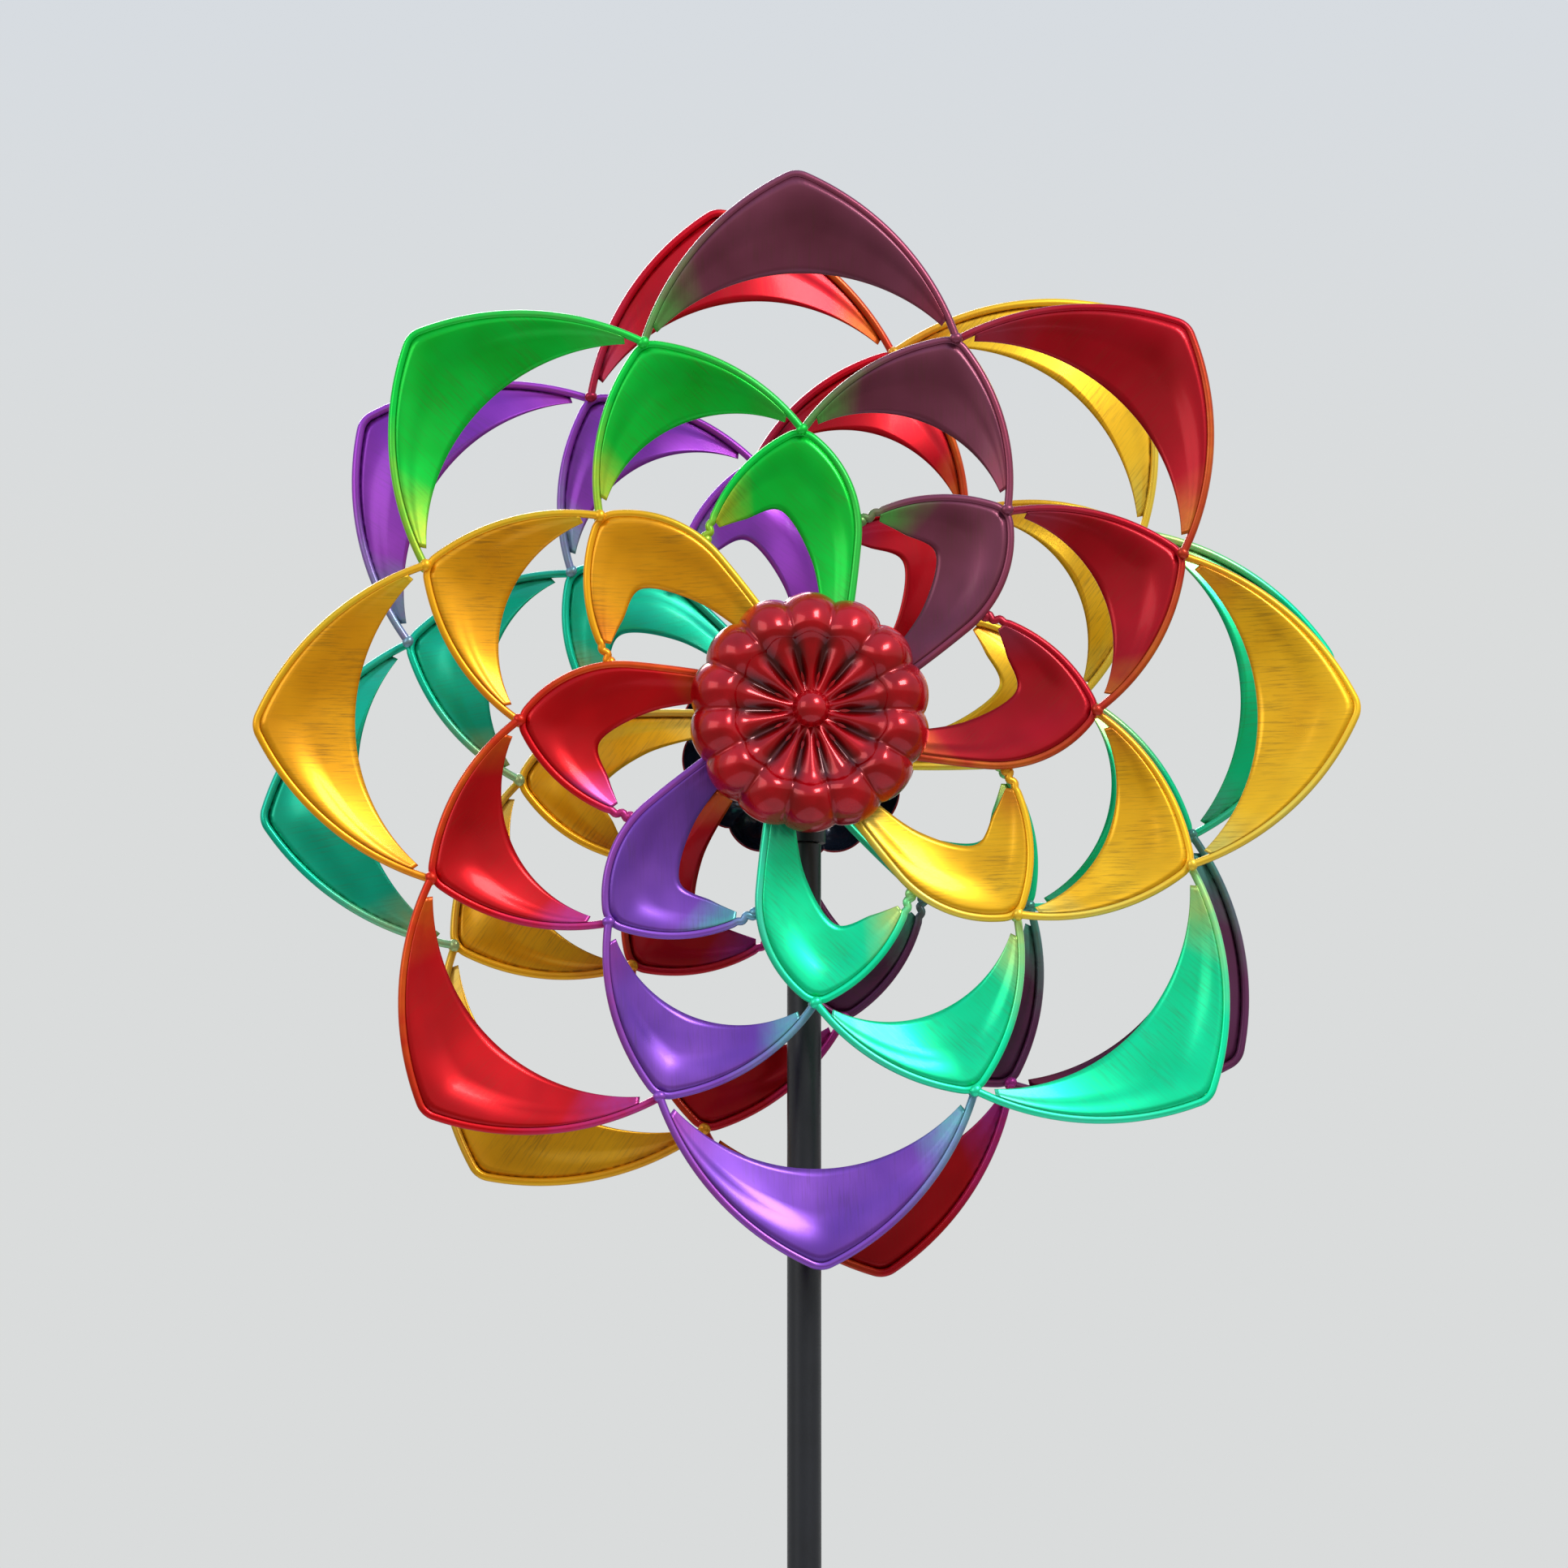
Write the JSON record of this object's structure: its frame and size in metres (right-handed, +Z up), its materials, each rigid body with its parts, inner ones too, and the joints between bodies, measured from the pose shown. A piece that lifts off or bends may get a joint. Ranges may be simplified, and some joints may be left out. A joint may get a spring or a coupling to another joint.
{
  "type": "wind_spinner",
  "caption": "Double flower wind spinner on a ground stake: two wheels of coloured crescent petals spin freely side by side on one axle, whose swivel head turns on a slim black pole.",
  "frame": {"origin": "Ground level on the axis of the pole, part way down the round shaft of the ground spike.", "axes": "+Z is up along the pole. The shared axle of the wheels runs along Y, with the front wheel on the -Y side. +X is to the right seen from the front."},
  "size_m": [0.614, 0.179, 2.167],
  "materials": {
    "black_paint": "satin black powder coat",
    "zinc_steel": "zinc-plated steel",
    "bearing_steel": "ground bearing steel",
    "bearing_bronze": "oil-filled bronze",
    "red_enamel": "glossy red enamel",
    "purple_lacquer": "translucent purple lacquer over metal, antiqued",
    "red_lacquer": "translucent red lacquer over metal, antiqued",
    "yellow_lacquer": "translucent amber lacquer over metal, antiqued",
    "green_lacquer": "translucent emerald lacquer over metal, antiqued"
  },
  "bodies": {
    "pole": {"ground_spike": "black_paint", "stake_step_bar": "black_paint", "stake_side_prongs": "black_paint", "lower_pole": "black_paint", "middle_pole": "black_paint", "upper_pole": "black_paint", "pole_couplers": "black_paint", "pole_screws": "zinc_steel", "swivel_spindle": "zinc_steel"},
    "swivel_head": {"swivel_tee": "black_paint", "swivel_bush": "bearing_bronze", "swivel_ball": "bearing_steel", "axle": "zinc_steel", "axle_set_screws": "zinc_steel", "bearing_spacers": "zinc_steel", "axle_nuts": "zinc_steel"},
    "front_wheel": {"front_hub": "black_paint", "front_bearings": "bearing_steel", "front_arm_screws": "zinc_steel", "front_flower_cap": "red_enamel", "front_rosette": "red_enamel", "front_cap_knob": "red_enamel", "front_arm_purple_1": "purple_lacquer", "front_petals_purple_1": "purple_lacquer", "front_arm_purple_2": "purple_lacquer", "front_petals_purple_2": "purple_lacquer", "front_arm_red_1": "red_lacquer", "front_petals_red_1": "red_lacquer", "front_arm_red_2": "red_lacquer", "front_petals_red_2": "red_lacquer", "front_arm_yellow_1": "yellow_lacquer", "front_petals_yellow_1": "yellow_lacquer", "front_arm_yellow_2": "yellow_lacquer", "front_petals_yellow_2": "yellow_lacquer", "front_arm_green_1": "green_lacquer", "front_petals_green_1": "green_lacquer", "front_arm_green_2": "green_lacquer", "front_petals_green_2": "green_lacquer"},
    "rear_wheel": {"rear_hub": "black_paint", "rear_bearings": "bearing_steel", "rear_arm_screws": "zinc_steel", "rear_flower_cap": "red_enamel", "rear_rosette": "red_enamel", "rear_cap_knob": "red_enamel", "rear_arm_purple_1": "purple_lacquer", "rear_petals_purple_1": "purple_lacquer", "rear_arm_purple_2": "purple_lacquer", "rear_petals_purple_2": "purple_lacquer", "rear_arm_red_1": "red_lacquer", "rear_petals_red_1": "red_lacquer", "rear_arm_red_2": "red_lacquer", "rear_petals_red_2": "red_lacquer", "rear_arm_yellow_1": "yellow_lacquer", "rear_petals_yellow_1": "yellow_lacquer", "rear_arm_yellow_2": "yellow_lacquer", "rear_petals_yellow_2": "yellow_lacquer", "rear_arm_green_1": "green_lacquer", "rear_petals_green_1": "green_lacquer", "rear_arm_green_2": "green_lacquer", "rear_petals_green_2": "green_lacquer"}
  },
  "joints": [
    {"name": "head_swivel", "type": "hinge", "parent": "pole", "child": "swivel_head", "pos_m": [0, 0, 1.5754], "axis": [0, 0, 1], "continuous": true},
    {"name": "front_wheel_spin", "type": "hinge", "parent": "swivel_head", "child": "front_wheel", "pos_m": [0, -0.05, 1.6], "axis": [0, -1, 0], "continuous": true},
    {"name": "rear_wheel_spin", "type": "hinge", "parent": "swivel_head", "child": "rear_wheel", "pos_m": [0, 0.05, 1.6], "axis": [0, -1, 0], "continuous": true}
  ]
}
